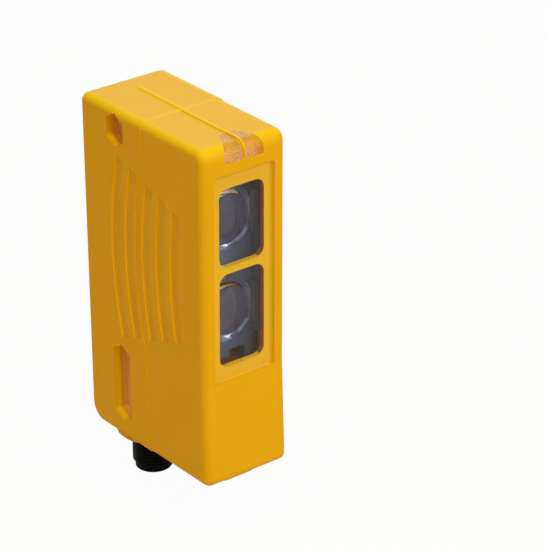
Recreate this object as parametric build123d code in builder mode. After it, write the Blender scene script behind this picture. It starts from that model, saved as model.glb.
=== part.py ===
"""Safety through-beam sensor: a two-shell plastic housing with two lenses and an M12 plug.

Millimetres, +Z up, the lenses look along -Y. The origin lies on the housing's middle plane,
level with its underside, below the middle of its depth.
"""

from build123d import *
import os

os.makedirs("parts", exist_ok=True)

# Housing
width = 28.0
depth = 54.0
height = 100.0
wall = 2.2
edge_radius = 2.2
shell_step = 0.2
front_y = -depth / 2
rear_y = depth / 2
break_z = 31.0
lean_above = 0.016
lean_below = 0.026

# Seam between the shells, seen from the side
seam_y = -1.0
seam_bulge_y = 3.15
seam_mid_z = 59.4
seam_half = 27.6

# Curved grooves in both side faces
groove_radius = 108.0
groove_width = 3.8
groove_depth = 0.5
rear_grooves = (13.9, 7.7)
front_grooves = (0.3, -6.0, -12.4)
groove_fan = 0.317
groove_reach = 24.1

# Fixing holes through the width
fix_y = 10.8
fix_top_z = 93.9
fix_slot_low_z = 9.9
fix_slot_high_z = 24.8
fix_hole_radius = 2.2
nut_half = 3.85
nut_depth = 4.3

# Front window and the two apertures behind it
pane_width = 20.0
pane_height = 61.1
pane_mid_z = 61.35
pane_depth = 1.3
front_wall = 2.9
aperture_width = 14.9
aperture_corner = 2.8
upper_aperture = (75.83, 22.86)
lower_aperture = (48.42, 27.74)

# Indicator window
lamp_front_half = 6.4
lamp_back_half = 2.5
lamp_back_y = -20.3
lamp_low_z = 94.9
ridge_width = 1.2

# Optics
lens_radius = 7.5
flange_radius = 9.3
lens_heights = (47.4, 74.6)
dome_y = -21.4
dome_radius = 15.06
seat_y = -17.0
clip_y = -19.0
web_y = -15.4
shelf_z = 28.4
rib_z = 89.8
board_half = 10.2
board_y = 0.0
board_thickness = 1.6

# Connector
plug_y = 16.8
plug_radius = 6.0
neck_radius = 5.5
tip_radius = 5.3
socket_radius = 4.3
collar_radius = 10.2
collar_low = -4.5
flange_low = -2.5
pin_radius = 0.5

# Electronics
signal_y = 9.2
output_y = 20.8
output_foot_z = 4.2

inner_half = width / 2 - wall
front_half = width / 2 - shell_step
front_inner = front_half - wall
top_z = height - shell_step
roof_z = top_z - wall
board_back = board_y + board_thickness / 2
board_front = board_y - board_thickness / 2
output_back = output_y + board_thickness / 2
output_front = output_y - board_thickness / 2
pin_places = [(x, y) for x in (-1.77, 1.77) for y in (plug_y - 1.77, plug_y + 1.77)]


# Outlines shared by both shells

with BuildPart() as rear_block:
    with BuildSketch(Plane.YZ.offset(-width / 2)):
        with BuildLine():
            Polyline(
                (seam_y - 12, 0), (rear_y, 0), (rear_y, height), (seam_y - 12, height), close=True
            )
        make_face()
        fillet(vertices().group_by(Axis.Y)[0].sort_by(Axis.X)[-1], radius=5.5)
        fillet(vertices().group_by(Axis.Y)[-1].sort_by(Axis.X)[-1], radius=2.6)
    extrude(amount=width)
    sides = edges().filter_by_position(Axis.X, width / 2, width / 2)
    sides += edges().filter_by_position(Axis.X, -width / 2, -width / 2)
    fillet(sides.filter_by(lambda e: e.center().Y > seam_y - 11), radius=edge_radius)

with BuildPart() as front_block:
    with BuildSketch(Plane.YZ.offset(-front_half)):
        with BuildLine():
            Polyline(
                (seam_y + 12, shell_step),
                (front_y - lean_below * break_z, shell_step),
                (front_y, break_z),
                (front_y - lean_above * (top_z - break_z), top_z),
                (seam_y + 12, top_z),
                close=True,
            )
        make_face()
        fillet(vertices().group_by(Axis.Y)[-1].sort_by(Axis.X)[0], radius=3.4)
        fillet(vertices().group_by(Axis.Y)[0].sort_by(Axis.X)[0], radius=2.3)
    extrude(amount=2 * front_half)
    sides = edges().filter_by_position(Axis.X, front_half, front_half)
    sides += edges().filter_by_position(Axis.X, -front_half, -front_half)
    fillet(sides.filter_by(lambda e: e.center().Y < seam_y + 11), radius=edge_radius)


# Everything behind the seam, a straight line with a bow that follows the grooves

def behind_seam(shift):
    """Outline of the space behind the seam, moved back by shift, in the YZ plane."""
    low = seam_mid_z - seam_half
    high = seam_mid_z + seam_half
    with BuildLine() as outline:
        Line((seam_y + shift, -20), (seam_y + shift, low))
        ThreePointArc(
            (seam_y + shift, low), (seam_bulge_y + shift, seam_mid_z), (seam_y + shift, high)
        )
        Polyline((seam_y + shift, high), (seam_y + shift, 120), (60, 120), (60, -20))
        Line((60, -20), (seam_y + shift, -20))
    return outline.line


with BuildPart() as rear_space:
    with BuildSketch(Plane.YZ):
        add(behind_seam(0))
        make_face()
    extrude(amount=30, both=True)

# Groove cutters: a ramped profile turned about a far axis, trimmed by two fanned lines

def groove_profile(steep, half_width):
    """Section of one groove: a steep wall behind, a floor, and a gentle slope to the front."""
    with BuildLine() as outline:
        Polyline(
            (-half_width - 1, steep),
            (-half_width, steep),
            (-half_width + groove_depth, steep - 0.25),
            (-half_width + groove_depth, steep - 1.5),
            (-half_width, steep - groove_width),
            (-half_width - 1, steep - groove_width),
            close=True,
        )
    return outline.line


def groove_cutters(steep_places, half_width):
    """Solids that cut the grooves in both side faces of one shell."""
    with BuildPart() as cutters:
        for steep in steep_places:
            axis_line = Axis((0, steep - groove_radius, seam_mid_z), (1, 0, 0))
            for turn in (17, -17):
                with BuildSketch(Plane.XY.offset(seam_mid_z)):
                    add(groove_profile(steep, half_width))
                    make_face()
                revolve(axis=axis_line, revolution_arc=turn)
        with BuildSketch(Plane.YZ):
            with BuildLine():
                Polyline(
                    (-30, seam_mid_z + groove_reach - 30 * groove_fan),
                    (30, seam_mid_z + groove_reach + 30 * groove_fan),
                    (30, seam_mid_z - groove_reach - 30 * groove_fan),
                    (-30, seam_mid_z - groove_reach + 30 * groove_fan),
                    close=True,
                )
            make_face()
        extrude(amount=30, both=True, mode=Mode.INTERSECT)
        mirror(about=Plane.YZ)
    return cutters.part


# Rear housing: shell with two fixing towers, screw pillars and the connector's collar

with BuildPart() as rear_housing:
    add(rear_block.part)
    with BuildSketch(Plane.YZ):
        with Locations((5.9, 59.3)):
            Rectangle(37.8, 54.6)
        with Locations((-4.15, height / 2)):
            Rectangle(17.7, height - 2 * wall)
        with Locations((20.9, 51.65)):
            Rectangle(7.8, 92.3)
    extrude(amount=inner_half, both=True, mode=Mode.SUBTRACT)
    with BuildSketch(Plane.XY.offset(collar_low)):
        with Locations((0, plug_y)):
            Circle(collar_radius)
    extrude(amount=10)
    add(rear_space.part, mode=Mode.INTERSECT)
    chamfer(faces().sort_by(Axis.Z)[0].edges(), length=0.7)
    with BuildSketch(Plane.XY.offset(flange_low)):
        with Locations((0, plug_y)):
            Circle(7.6)
    extrude(amount=8.7, mode=Mode.SUBTRACT)
    with BuildSketch(Plane.XY.offset(-6)):
        with Locations((0, plug_y)):
            Circle(plug_radius + 0.15)
    extrude(amount=4, mode=Mode.SUBTRACT)
    with BuildSketch(Plane.YZ):
        with Locations((fix_y, fix_top_z)):
            Circle(fix_hole_radius)
        with Locations((fix_y, (fix_slot_low_z + fix_slot_high_z) / 2)):
            SlotCenterToCenter(fix_slot_high_z - fix_slot_low_z, 2 * fix_hole_radius, 90)
    extrude(amount=width, both=True, mode=Mode.SUBTRACT)
    for side in (-1, 1):
        with BuildSketch(Plane.YZ.offset(side * (width / 2 - nut_depth))):
            for low, high in ((fix_top_z - 0.4, fix_top_z + 0.4), (fix_slot_low_z, fix_slot_high_z)):
                with BuildLine():
                    Polyline(
                        (fix_y - nut_half, low - 2.25),
                        (fix_y, low - 4.45),
                        (fix_y + nut_half, low - 2.25),
                        (fix_y + nut_half, high + 2.25),
                        (fix_y, high + 4.45),
                        (fix_y - nut_half, high + 2.25),
                        close=True,
                    )
                make_face()
        extrude(amount=side * nut_depth * 2, mode=Mode.SUBTRACT)
    with BuildSketch(Plane.XZ.offset(-rear_y + wall)):
        with Locations(*[(x, z) for x in (-10.6, 10.6) for z in (42.0, 76.0)]):
            Rectangle(2.4, 4.0)
    extrude(amount=rear_y - wall - output_back)
    with BuildSketch(Plane.XZ.offset(-signal_y - board_thickness / 2)):
        with Locations((-11.2, 59.5), (11.2, 59.5)):
            Rectangle(1.6, 34.0)
    extrude(amount=-1.4)
    with BuildSketch(Plane.XZ.offset(-18.5)):
        with BuildLine():
            Polyline(
                (-ridge_width / 2, height - 0.5),
                (-ridge_width / 2, height),
                (-0.25, height + 0.4),
                (0.25, height + 0.4),
                (ridge_width / 2, height),
                (ridge_width / 2, height - 0.5),
                close=True,
            )
        make_face()
    extrude(amount=18.5 - seam_y)
    add(groove_cutters(rear_grooves, width / 2), mode=Mode.SUBTRACT)
    rear_housing.part.label = "rear_housing"


# Front window slope and the pocket that holds the pane

window_plane = Plane(
    origin=(0, front_y, break_z), x_dir=(1, 0, 0), z_dir=(0, -1, -lean_above)
)


# Space of the indicator window: the top front edge inside a wedge that widens to the front

with BuildPart() as lamp_space:
    with BuildSketch(Plane.XY.offset(lamp_low_z)):
        with BuildLine():
            Polyline(
                (-lamp_back_half, lamp_back_y),
                (lamp_back_half, lamp_back_y),
                (lamp_front_half - 0.9, -26.2),
                (lamp_front_half, -28.2),
                (lamp_front_half, -32),
                (-lamp_front_half, -32),
                (-lamp_front_half, -28.2),
                (-lamp_front_half + 0.9, -26.2),
                close=True,
            )
        make_face()
        fillet(vertices().sort_by(Axis.Y)[-2:], radius=1.4)
    extrude(amount=10)

with BuildPart() as front_room:
    with BuildSketch(Plane.YZ):
        with BuildLine():
            Polyline(
                (-10, break_z),
                (front_y + front_wall, break_z),
                (front_y + front_wall - lean_above * (roof_z - break_z), roof_z),
                (-10, roof_z),
                close=True,
            )
        make_face()
    extrude(amount=20, both=True)

with BuildPart() as bar_space:
    with BuildSketch(Plane.XY.offset(lamp_low_z - 1)):
        with Locations((0, -25)):
            Rectangle(ridge_width, 14)
    extrude(amount=12)

with BuildPart() as lamp_cut:
    add(lamp_space.part)
    add(front_room.part, mode=Mode.SUBTRACT)
    add(bar_space.part, mode=Mode.SUBTRACT)


# Front housing: shell with the two apertures, foot pad, sighting ridge and inner ribs

with BuildPart() as front_housing:
    add(front_block.part)
    with BuildSketch(Plane.YZ):
        with BuildLine():
            Polyline(
                (20, wall + shell_step),
                (front_y + wall, wall + shell_step),
                (front_y + wall, break_z - 1),
                (front_y + front_wall, break_z),
                (front_y + front_wall - lean_above * (roof_z - break_z), roof_z),
                (20, roof_z),
                close=True,
            )
        make_face()
    extrude(amount=front_inner, both=True, mode=Mode.SUBTRACT)
    add(rear_space.part, mode=Mode.SUBTRACT)
    with BuildSketch(window_plane):
        with Locations((0, pane_mid_z - break_z)):
            RectangleRounded(pane_width, pane_height, 0.8)
    extrude(amount=-pane_depth, mode=Mode.SUBTRACT)
    with BuildSketch(window_plane):
        for mid_z, tall in (upper_aperture, lower_aperture):
            with Locations((0, mid_z - break_z)):
                RectangleRounded(aperture_width, tall, aperture_corner)
    extrude(amount=-2 * front_wall, mode=Mode.SUBTRACT)
    with BuildSketch(Plane.XY.offset(-2.0)):
        with Locations((0, -17.5)):
            RectangleRounded(11.4, 13.0, 1.6)
    extrude(amount=2.4)
    chamfer(faces().sort_by(Axis.Z)[0].edges(), length=0.5)
    with BuildSketch(Plane.XZ.offset(-seam_y)):
        with BuildLine():
            Polyline(
                (-ridge_width / 2, top_z - 0.5),
                (-ridge_width / 2, top_z),
                (-0.25, top_z + 0.4),
                (0.25, top_z + 0.4),
                (ridge_width / 2, top_z),
                (ridge_width / 2, top_z - 0.5),
                close=True,
            )
        make_face()
    extrude(amount=-lamp_back_y + seam_y)
    with BuildSketch(Plane.YZ.offset(-0.3)):
        with BuildLine():
            crest_y = front_y - lean_above * (top_z - break_z) - 0.35
            Polyline(
                (lamp_back_y, top_z - 0.6),
                (lamp_back_y, top_z + 0.4),
                (crest_y, top_z + 0.4),
                (crest_y, lamp_low_z + 0.6),
                (crest_y + 1.6, lamp_low_z + 0.6),
                (crest_y + 1.6, top_z - 0.6),
                close=True,
            )
        make_face()
        fillet(vertices().group_by(Axis.Y)[-1].sort_by(Axis.X)[0], radius=3.7)
    extrude(amount=0.6)
    with BuildSketch(Plane.YZ):
        with BuildLine():
            Polyline(
                (front_y + 1, rib_z + 1.2),
                (front_y + 1, rib_z),
                (seat_y - 1.2, rib_z),
                (seat_y - 1.2, rib_z - 2),
                (seat_y, rib_z - 2),
                (seat_y, rib_z),
                (web_y + 0.6, rib_z),
                (web_y + 0.6, rib_z + 1.2),
                close=True,
            )
        make_face()
    extrude(amount=8.0, both=True)
    with BuildSketch(Plane.YZ):
        with BuildLine():
            Polyline(
                (front_y + 2, shelf_z),
                (front_y + 2, shelf_z - 1.4),
                (-6, shelf_z - 1.4),
                (-6, shelf_z),
                (-18.0, shelf_z),
                (-18.0, shelf_z + 1.4),
                (-19.2, shelf_z + 1.4),
                (-19.2, shelf_z),
                close=True,
            )
        make_face()
    extrude(amount=front_inner, both=True)
    add(lamp_cut.part, mode=Mode.SUBTRACT)
    add(groove_cutters(front_grooves, front_half), mode=Mode.SUBTRACT)
    front_housing.part.label = "front_housing"


# Clear front window, one pane in the pocket over both apertures

with BuildPart() as front_window:
    with BuildSketch(window_plane.offset(-0.2)):
        with Locations((0, pane_mid_z - break_z)):
            RectangleRounded(pane_width - 0.16, pane_height - 0.16, 0.75)
    extrude(amount=0.2 - pane_depth)
    front_window.part.label = "front_window"


# Clear indicator window: two prisms beside the bar, joined by a flange under the roof

with BuildPart() as indicator_window:
    add(lamp_cut.part)
    add(front_block.part, mode=Mode.INTERSECT)
    with BuildSketch(Plane.XY.offset(roof_z)):
        with Locations((0, -22.0)):
            Rectangle(14.0, 6.0)
    extrude(amount=-1.0)
    indicator_window.part.label = "indicator_window"


# Lens carrier: a web between two side walls, clips on both lenses, legs and rear arms

with BuildPart() as lens_carrier:
    with BuildSketch(Plane.XZ.offset(-web_y)):
        with Locations((0, (rib_z + 34.5) / 2)):
            Rectangle(22.8, rib_z - 34.5)
        with Locations(*[(0, z) for z in lens_heights]):
            Circle(8.0, mode=Mode.SUBTRACT)
    extrude(amount=web_y - seat_y)
    with BuildSketch(Plane.XZ.offset(-web_y)):
        with Locations((0, 36.0)):
            Rectangle(22.8, 3.0)
        with Locations((0, 33.8)):
            Rectangle(3.0, 3.0)
        with Locations((-8.9, (shelf_z + 34.6) / 2), (8.9, (shelf_z + 34.6) / 2)):
            Rectangle(4.0, 34.6 - shelf_z)
    extrude(amount=2.6)
    with BuildSketch(Plane.XZ.offset(-seat_y)):
        with Locations((-11.0, (rib_z + 37.5) / 2), (11.0, (rib_z + 37.5) / 2)):
            Rectangle(0.8, rib_z - 37.5)
        with Locations(*[(x, z) for x in (-10.3, 10.3) for z in lens_heights]):
            Rectangle(1.6, 12.0)
    extrude(amount=seat_y - clip_y)
    with BuildSketch(Plane.XZ.offset(-clip_y)):
        with Locations((-11.0, (rib_z + 37.5) / 2), (11.0, (rib_z + 37.5) / 2)):
            Rectangle(0.8, rib_z - 37.5)
        with Locations(*[(x, z) for x in (-9.95, 9.95) for z in lens_heights]):
            Rectangle(2.9, 12.0)
    extrude(amount=0.8)
    for side in (-1, 1):
        with BuildSketch(Plane.XY.offset(57.0)):
            with BuildLine():
                Polyline(
                    (side * 11.4, web_y),
                    (side * 11.4, board_back + 1.0),
                    (side * 10.8, board_back + 1.0),
                    (side * 9.7, board_back),
                    (side * 10.4, board_back),
                    (side * 10.4, web_y),
                    close=True,
                )
            make_face()
        extrude(amount=8.0)
    lens_carrier.part.label = "lens_carrier"


# Lenses: a spherical front, a V-shaped valley, a raised rim and a flat rear

def lens_body(mid_z, name):
    """One lens turned about the line through its own middle height."""
    with BuildPart() as lens:
        with BuildSketch(Plane.YZ):
            with BuildLine():
                Polyline(
                    (seat_y, mid_z),
                    (seat_y, mid_z + flange_radius),
                    (seat_y - 1.0, mid_z + flange_radius),
                    (seat_y - 1.0, mid_z + lens_radius + 0.8),
                    (seat_y - 2.6, mid_z + lens_radius - 0.114),
                    (seat_y - 5.0, mid_z + lens_radius - 0.114),
                    (seat_y - 5.0, mid_z),
                    close=True,
                )
            make_face()
        revolve(axis=Axis((0, 0, mid_z), (0, 1, 0)))
        with Locations((0, dome_y + dome_radius, mid_z)):
            Sphere(dome_radius, mode=Mode.INTERSECT)
        with BuildSketch(Plane.YZ):
            with BuildLine():
                Polyline(
                    (seat_y - 0.5, mid_z + lens_radius + 0.8),
                    (seat_y - 0.5, mid_z + flange_radius),
                    (clip_y, mid_z + flange_radius),
                    (seat_y - 1.0, mid_z + lens_radius + 0.8),
                    close=True,
                )
            make_face()
        revolve(axis=Axis((0, 0, mid_z), (0, 1, 0)))
        lens.part.label = name
    return lens


lower_lens = lens_body(lens_heights[0], "lower_lens")
upper_lens = lens_body(lens_heights[1], "upper_lens")


# Optics chassis: one light-tight four-sided funnel behind each lens, between two plates

def funnel(mid_z, start_y, end_y, start_half, end_half):
    """A four-sided pyramid stump that narrows from start_y to end_y."""
    with BuildPart() as stump:
        with BuildSketch(Plane.YZ):
            with BuildLine():
                Polyline(
                    (start_y, mid_z - start_half),
                    (end_y, mid_z - end_half),
                    (end_y, mid_z + end_half),
                    (start_y, mid_z + start_half),
                    close=True,
                )
            make_face()
        extrude(amount=start_half, both=True)
        with BuildSketch(Plane.XY.offset(mid_z)):
            with BuildLine():
                Polyline(
                    (-start_half, start_y),
                    (-end_half, end_y),
                    (end_half, end_y),
                    (start_half, start_y),
                    close=True,
                )
            make_face()
        extrude(amount=start_half, both=True, mode=Mode.INTERSECT)
    return stump.part


with BuildPart() as optics_chassis:
    with BuildSketch(Plane.XZ.offset(-web_y - 1.4)):
        with Locations((0, 61.0)):
            Rectangle(2 * board_half, 45.6)
    extrude(amount=1.4)
    with BuildSketch(Plane.XZ.offset(-board_front)):
        with Locations((0, 61.0)):
            Rectangle(16.0, 38.0)
    extrude(amount=1.2)
    with BuildSketch(Plane.YZ):
        with Locations(((web_y + board_front) / 2, 61.0)):
            Rectangle(board_front - web_y - 1.0, 30.0)
    extrude(amount=0.8, both=True)
    for mid_z in lens_heights:
        add(funnel(mid_z, web_y + 0.6, board_front - 0.6, 8.7, 3.8))
    for mid_z in lens_heights:
        add(funnel(mid_z, web_y, board_front, 7.4, 2.4), mode=Mode.SUBTRACT)
    optics_chassis.part.label = "optics_chassis"


# Optics board, with a tongue that carries the indicator board, and its two photo elements

with BuildPart() as optics_board:
    with BuildSketch(Plane.XZ.offset(-board_back)):
        with Locations((0, 59.75)):
            Rectangle(2 * board_half, 43.5)
        with Locations((0, 85.5)):
            Rectangle(10.4, 11.0)
    extrude(amount=board_thickness)
    optics_board.part.label = "optics_board"

with BuildPart() as photo_elements:
    with BuildSketch(Plane.XZ.offset(-board_front)):
        with Locations(*[(0, z) for z in lens_heights]):
            Rectangle(3.0, 3.0)
    extrude(amount=1.0)
    photo_elements.part.label = "photo_elements"


# Indicator board under the indicator window, with one lamp on each side of the bar

with BuildPart() as indicator_board:
    with BuildSketch(Plane.XY.offset(rib_z + 1.2)):
        with Locations((0, -11.8)):
            Rectangle(18.0, 25.2)
        chamfer(vertices(), length=1.5)
    extrude(amount=1.2)
    indicator_board.part.label = "indicator_board"

with BuildPart() as indicator_leds:
    with BuildSketch(Plane.XY.offset(rib_z + 2.4)):
        with Locations((-3.3, -22.6), (3.3, -22.6)):
            Rectangle(3.5, 2.8)
    extrude(amount=1.2)
    with BuildSketch(Plane.XY.offset(rib_z + 3.6)):
        with Locations((-3.3, -22.6), (3.3, -22.6)):
            Rectangle(2.4, 2.0)
    extrude(amount=0.6, taper=15)
    indicator_leds.part.label = "indicator_leds"


# Signal board, its two controllers, and the headers between the three upright boards

def header(pitch_count, low_y, high_y, mid_z, name):
    """A row of square pins in two plastic strips between two boards."""
    half = pitch_count * 2.54 / 2
    with BuildPart() as row:
        for start in (low_y, high_y - 2.5):
            with BuildSketch(Plane.XZ.offset(-start)):
                with Locations((0, mid_z)):
                    Rectangle(2 * half, 2.4)
            extrude(amount=-2.5)
        with BuildSketch(Plane.XZ.offset(-low_y)):
            with Locations((0, mid_z)):
                with GridLocations(2.54, 1, pitch_count, 1):
                    Rectangle(0.64, 0.64)
        extrude(amount=low_y - high_y)
        row.part.label = name
    return row


with BuildPart() as signal_board:
    with BuildSketch(Plane.XZ.offset(-signal_y - board_thickness / 2)):
        with Locations((0, 59.5)):
            Rectangle(22.0, 39.0)
    extrude(amount=board_thickness)
    signal_board.part.label = "signal_board"

with BuildPart() as signal_controllers:
    with BuildSketch(Plane.XZ.offset(-signal_y + board_thickness / 2)):
        with Locations((0, 52.0), (0, 68.0)):
            Rectangle(7.0, 7.0)
    extrude(amount=1.2)
    signal_controllers.part.label = "signal_controllers"

front_header = header(5, board_back, signal_y - board_thickness / 2, 43.1, "front_header")
rear_header = header(5, signal_y + board_thickness / 2, output_front, 43.1, "rear_header")


# Output board, with a tongue down to the connector, its two switches and the capacitor

with BuildPart() as output_board:
    with BuildSketch(Plane.XZ.offset(-output_back)):
        with Locations((0, 59.25)):
            Rectangle(22.0, 42.5)
        with Locations((0, (39.0 + output_foot_z) / 2)):
            Rectangle(8.8, 39.0 - output_foot_z)
    extrude(amount=board_thickness)
    output_board.part.label = "output_board"

with BuildPart() as output_switches:
    with BuildSketch(Plane.XZ.offset(-output_front)):
        with Locations((0, 48.6), (0, 57.0)):
            Rectangle(6.6, 6.1)
    extrude(amount=2.3)
    output_switches.part.label = "output_switches"

with BuildPart() as supply_capacitor:
    with BuildSketch(Plane.XY.offset(62.4)):
        with Locations((0, output_front - 4.3)):
            RegularPolygon(4.0, 20)
    extrude(amount=11.6)
    with BuildSketch(Plane.XY.offset(60.8)):
        with Locations((-1.75, output_front - 4.3), (1.75, output_front - 4.3)):
            Rectangle(0.6, 0.6)
    extrude(amount=2.4)
    with BuildSketch(Plane.XZ.offset(-output_front)):
        with Locations((-1.75, 61.1), (1.75, 61.1)):
            Rectangle(0.6, 0.6)
    extrude(amount=4.6)
    supply_capacitor.part.label = "supply_capacitor"


# Connector: body, insert, pins, seal and the round board on top

with BuildPart() as connector_body:
    with BuildSketch(Plane.YZ):
        with BuildLine():
            Polyline(
                (plug_y + socket_radius, -16.2),
                (plug_y + tip_radius, -16.2),
                (plug_y + tip_radius, -14.8),
                (plug_y + plug_radius, -14.1),
                (plug_y + plug_radius, -4.6),
                (plug_y + neck_radius, -4.6),
                (plug_y + neck_radius, 3.0),
                (plug_y + socket_radius, 3.0),
                close=True,
            )
        make_face()
    revolve(axis=Axis((0, plug_y, 0), (0, 0, 1)))
    with BuildSketch(Plane.XY.offset(flange_low + 0.8)):
        with Locations((0, plug_y)):
            RegularPolygon(7.4, 24)
            Circle(neck_radius - 0.4, mode=Mode.SUBTRACT)
    extrude(amount=2.2 - flange_low)
    with BuildSketch(Plane.XY.offset(-15.4)):
        with Locations((0, plug_y + socket_radius - 0.2)):
            Rectangle(1.1, 1.0)
    extrude(amount=8.2)
    connector_body.part.label = "connector_body"

with BuildPart() as connector_insert:
    with BuildSketch(Plane.XY.offset(-7.2)):
        with Locations((0, plug_y)):
            Circle(socket_radius)
        with Locations(*pin_places):
            RegularPolygon(pin_radius, 8, mode=Mode.SUBTRACT)
    extrude(amount=8.4)
    connector_insert.part.label = "connector_insert"

with BuildPart() as connector_pins:
    with BuildSketch(Plane.XY.offset(-14.6)):
        with Locations(*pin_places):
            RegularPolygon(pin_radius, 8)
    extrude(amount=19.6)
    connector_pins.part.label = "connector_pins"

with BuildPart() as connector_seal:
    with BuildSketch(Plane.XY.offset(flange_low)):
        with Locations((0, plug_y)):
            RegularPolygon(7.4, 24)
            RegularPolygon(6.1, 24, mode=Mode.SUBTRACT)
    extrude(amount=0.8)
    connector_seal.part.label = "connector_seal"

with BuildPart() as connector_board:
    with BuildSketch(Plane.XY.offset(3.0)):
        with Locations((0, plug_y)):
            RegularPolygon(7.4, 16)
        with Locations(*pin_places):
            RegularPolygon(pin_radius, 8, mode=Mode.SUBTRACT)
    extrude(amount=1.2)
    connector_board.part.label = "connector_board"


export_step(rear_housing.part, "parts/rear_housing.step")
export_step(front_housing.part, "parts/front_housing.step")
export_step(front_window.part, "parts/front_window.step")
export_step(indicator_window.part, "parts/indicator_window.step")
export_step(lens_carrier.part, "parts/lens_carrier.step")
export_step(lower_lens.part, "parts/lower_lens.step")
export_step(upper_lens.part, "parts/upper_lens.step")
export_step(optics_chassis.part, "parts/optics_chassis.step")
export_step(optics_board.part, "parts/optics_board.step")
export_step(photo_elements.part, "parts/photo_elements.step")
export_step(indicator_board.part, "parts/indicator_board.step")
export_step(indicator_leds.part, "parts/indicator_leds.step")
export_step(signal_board.part, "parts/signal_board.step")
export_step(signal_controllers.part, "parts/signal_controllers.step")
export_step(front_header.part, "parts/front_header.step")
export_step(rear_header.part, "parts/rear_header.step")
export_step(output_board.part, "parts/output_board.step")
export_step(output_switches.part, "parts/output_switches.step")
export_step(supply_capacitor.part, "parts/supply_capacitor.step")
export_step(connector_body.part, "parts/connector_body.step")
export_step(connector_insert.part, "parts/connector_insert.step")
export_step(connector_pins.part, "parts/connector_pins.step")
export_step(connector_seal.part, "parts/connector_seal.step")
export_step(connector_board.part, "parts/connector_board.step")
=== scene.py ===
"""Dresses the safety light-beam sensor: two yellow shells, two clear lenses and a black plug.

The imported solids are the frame. This script gives each of them its finish, models the pieces
whose shape is finer than the solids, and sets up the camera, the lamps and the floor.
Sizes are in millimetres and become metres where a mesh or an object is made.
"""

import logging
import math
from dataclasses import dataclass
from enum import Enum
from typing import Sequence

import bmesh
import bpy
from mathutils import Matrix, Vector


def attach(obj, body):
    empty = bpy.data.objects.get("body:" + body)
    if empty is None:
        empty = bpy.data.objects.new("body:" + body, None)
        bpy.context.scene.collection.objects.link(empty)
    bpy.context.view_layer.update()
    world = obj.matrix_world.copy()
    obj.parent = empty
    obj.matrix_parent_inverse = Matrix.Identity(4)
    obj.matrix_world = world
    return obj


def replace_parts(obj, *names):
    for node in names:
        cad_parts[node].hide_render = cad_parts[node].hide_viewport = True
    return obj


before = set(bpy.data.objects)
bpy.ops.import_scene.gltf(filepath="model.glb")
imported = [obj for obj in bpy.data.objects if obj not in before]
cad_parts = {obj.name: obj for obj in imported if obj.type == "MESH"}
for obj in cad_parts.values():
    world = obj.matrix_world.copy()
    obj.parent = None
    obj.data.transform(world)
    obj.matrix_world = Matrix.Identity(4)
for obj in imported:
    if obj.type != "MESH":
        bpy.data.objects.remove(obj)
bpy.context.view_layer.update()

MM = 0.001
WELD = 1e-4  # millimetres within which two points become one
LEVEL = 1e-3  # millimetres within which a point counts as being at a height
# Three numbers along x, y and z. A colour is three too: a display colour, from 0 to 255, in a
# finish, and a linear one, from 0 to 1, for the lamps, the floor and the world.
Triple = tuple[float, float, float]
Colour = Triple
WHITE: Colour = (1.0, 1.0, 1.0)
Socket = bpy.types.NodeSocket
Paint = Colour | Socket
log = logging.getLogger("sensor")


def linear(colour: Colour) -> tuple[float, float, float, float]:
    """Turns a display colour into the linear values that a shader takes.

    Args:
        colour: Red, green and blue from 0 to 255, as seen on a screen.

    Returns:
        The linear red, green and blue with an alpha of 1.
    """
    parts = []
    for value in colour:
        part = value / 255.0
        parts.append(part / 12.92 if part <= 0.04045 else ((part + 0.055) / 1.055) ** 2.4)
    return (parts[0], parts[1], parts[2], 1.0)


class Slot(Enum):
    """The material slots that the record names."""

    YELLOW_SHELL = "yellow_shell"
    CLEAR_PANE = "clear_pane"
    CLEAR_PRISM = "clear_prism"
    LENS_PLASTIC = "lens_plastic"
    DARK_PLASTIC = "dark_plastic"
    BLACK_PLASTIC = "black_plastic"
    SEAL_RUBBER = "seal_rubber"
    CIRCUIT_BOARD = "circuit_board"
    CHIP_BLACK = "chip_black"
    LAMP_PLASTIC = "lamp_plastic"
    CAPACITOR_CAN = "capacitor_can"
    PIN_METAL = "pin_metal"


@dataclass(frozen=True)
class Zone:
    """A box in millimetres in which a finish takes another colour."""

    middle: Triple
    half: Triple


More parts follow.
